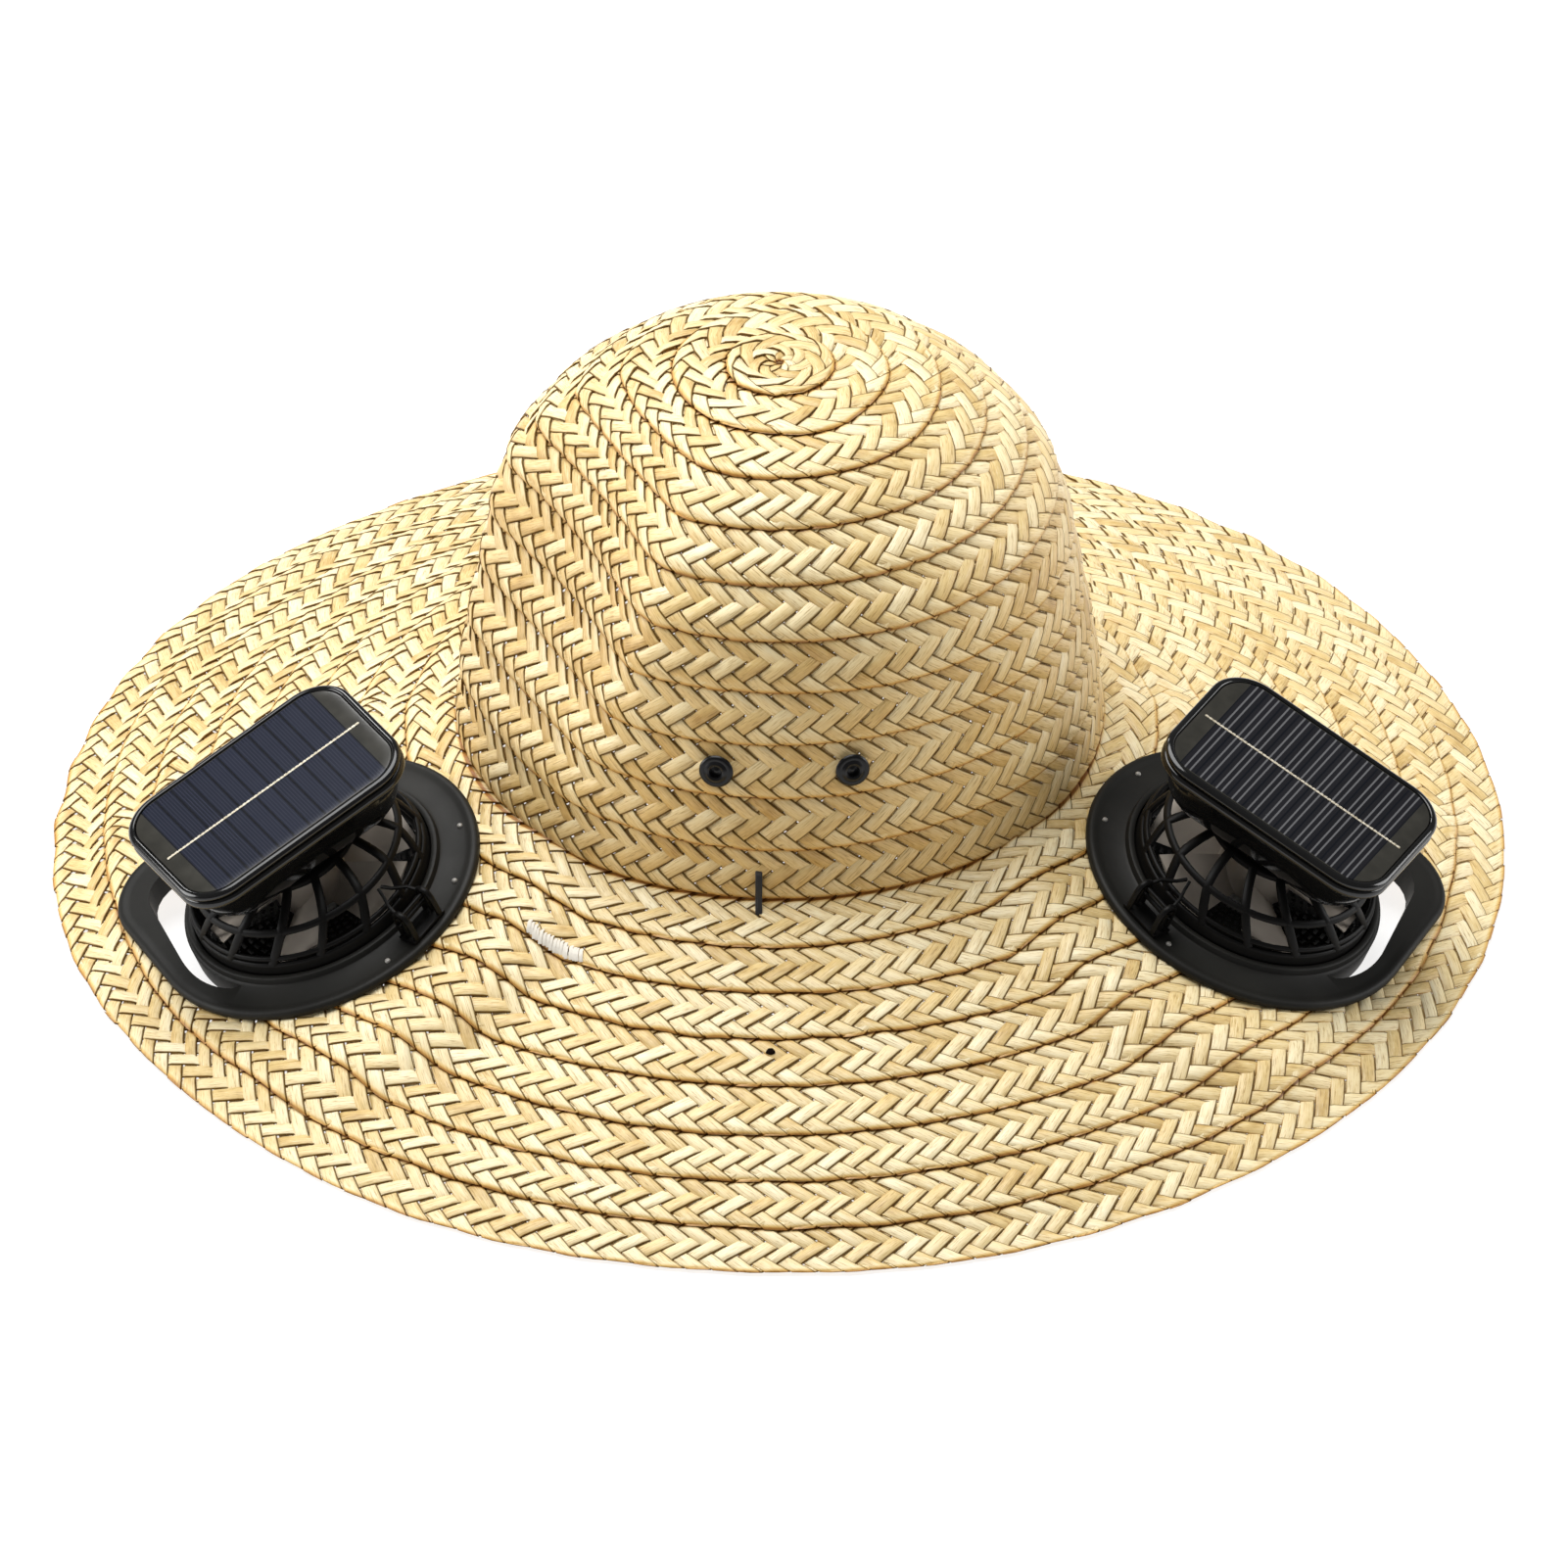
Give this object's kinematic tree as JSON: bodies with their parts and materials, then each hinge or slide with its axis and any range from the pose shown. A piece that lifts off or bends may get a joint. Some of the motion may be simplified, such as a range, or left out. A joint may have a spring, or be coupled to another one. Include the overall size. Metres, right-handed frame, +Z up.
{
  "type": "solar fan hat",
  "caption": "Wide straw sun hat with a round crown and, on each side of its sloping brim, a solar panel over a small guarded fan.",
  "frame": {"origin": "on the resting plane, under the middle of the crown", "axes": "+Z up through the crown, -Y towards the front with the two eyelets, +X to the viewer's right as seen from the front"},
  "size_m": [0.4452, 0.4452, 0.1842],
  "materials": {
    "straw": "matte woven straw",
    "black_plastic": "matte black moulding",
    "gloss_black": "glossy black moulding",
    "blade_plastic": "dull grey-brown moulding",
    "solar_cell": "dark blue cells under clear resin",
    "motor_steel": "bare motor can"
  },
  "bodies": {
    "hat": {"crown": "straw", "brim": "straw", "eyelet_left": "black_plastic", "fan_base_left": "black_plastic", "fan_guard_left": "black_plastic", "fan_motor_left": "motor_steel", "latch_left": "black_plastic", "panel_body_left": "gloss_black", "solar_panel_left": "solar_cell", "eyelet_right": "black_plastic", "fan_base_right": "black_plastic", "fan_guard_right": "black_plastic", "fan_motor_right": "motor_steel", "latch_right": "black_plastic", "panel_body_right": "gloss_black", "solar_panel_right": "solar_cell"},
    "rotor_left": {"fan_rotor_left": "blade_plastic"},
    "rotor_right": {"fan_rotor_right": "blade_plastic"}
  },
  "joints": [
    {"name": "spin_left", "type": "hinge", "parent": "hat", "child": "rotor_left", "pos_m": [-0.14211, -0.05886, 0.02981], "axis": [-0.358, -0.1483, 0.9219], "continuous": true},
    {"name": "spin_right", "type": "hinge", "parent": "hat", "child": "rotor_right", "pos_m": [0.14211, -0.05886, 0.02981], "axis": [0.358, -0.1483, 0.9219], "continuous": true}
  ]
}
